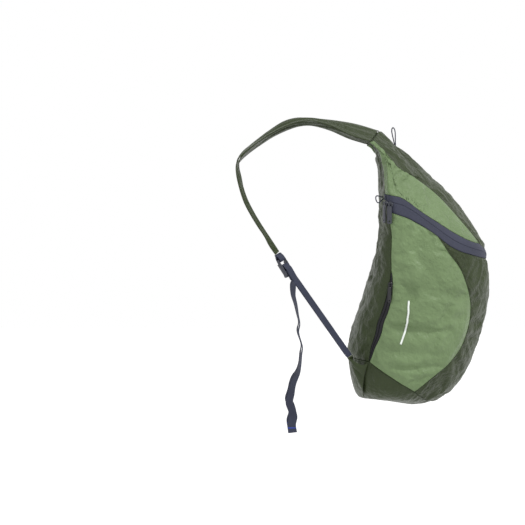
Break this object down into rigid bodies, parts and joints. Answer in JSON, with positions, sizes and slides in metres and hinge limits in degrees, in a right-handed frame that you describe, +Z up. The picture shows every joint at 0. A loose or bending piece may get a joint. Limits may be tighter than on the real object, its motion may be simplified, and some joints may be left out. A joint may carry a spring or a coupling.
{
  "type": "packable backpack",
  "caption": "Light two-tone packable daypack in its worn form, with thin pleated shoulder straps, ladder buckles, loose webbing ends, a wrap-round main zip and a side pocket zip.",
  "frame": {"origin": "under the shoulder straps, midway between them, where they rest on the shoulders", "axes": "+Z up, the outer face looks along -Y, the wearer stands at +Y, +X across the back"},
  "size_m": [0.2926, 0.4279, 0.5342],
  "materials": {
    "dark_cloth": "fine nylon, dark green, soft sheen",
    "light_cloth": "fine nylon, sage green, soft sheen",
    "zip_tape": "woven tape, slate",
    "webbing": "ribbed webbing, slate blue",
    "plastic": "satin, grey",
    "glossy": "glossy, near black",
    "cord": "braided cord, slate blue"
  },
  "bodies": {
    "bag": {"top_panel": "dark_cloth", "front_panel": "dark_cloth", "back_panel": "dark_cloth", "bottom_panel": "dark_cloth", "strap_l": "dark_cloth", "strap_r": "dark_cloth", "wing_l": "dark_cloth", "wing_r": "dark_cloth", "upper_side_l": "light_cloth", "upper_side_r": "light_cloth", "lower_side_l": "light_cloth", "lower_side_r": "light_cloth", "main_zip_tape_upper": "zip_tape", "main_zip_tape_lower": "zip_tape", "main_zip_coil": "zip_tape", "zip_end_l": "zip_tape", "zip_end_r": "zip_tape", "pocket_zip_tape_back": "zip_tape", "pocket_zip_tape_front": "zip_tape", "strap_webbing_l": "webbing", "strap_webbing_r": "webbing", "webbing_l": "webbing", "webbing_r": "webbing", "ladder_lock_l": "plastic", "ladder_lock_r": "plastic", "main_slider_a": "plastic", "main_slider_b": "plastic", "pocket_slider": "glossy", "pocket_zip_coil": "glossy", "hang_loop": "cord", "pull_loop": "cord"},
    "main_puller_a": {"main_puller_a": "plastic"},
    "main_puller_b": {"main_puller_b": "plastic"},
    "pocket_puller": {"pocket_puller": "glossy"}
  },
  "joints": [
    {"name": "main_puller_a_hinge", "type": "hinge", "parent": "bag", "child": "main_puller_a", "pos_m": [-0.14197, -0.13465, -0.1404], "axis": [0.5449, 0.8385, 0], "range_deg": [0, 140]},
    {"name": "main_puller_b_hinge", "type": "hinge", "parent": "bag", "child": "main_puller_b", "pos_m": [-0.13046, -0.12591, -0.13862], "axis": [0.9256, 0.3785, 0], "range_deg": [0, 70]},
    {"name": "pocket_puller_hinge", "type": "hinge", "parent": "bag", "child": "pocket_puller", "pos_m": [-0.14209, -0.13465, -0.27675], "axis": [0.4523, 0.8919, 0], "range_deg": [0, 140]}
  ]
}
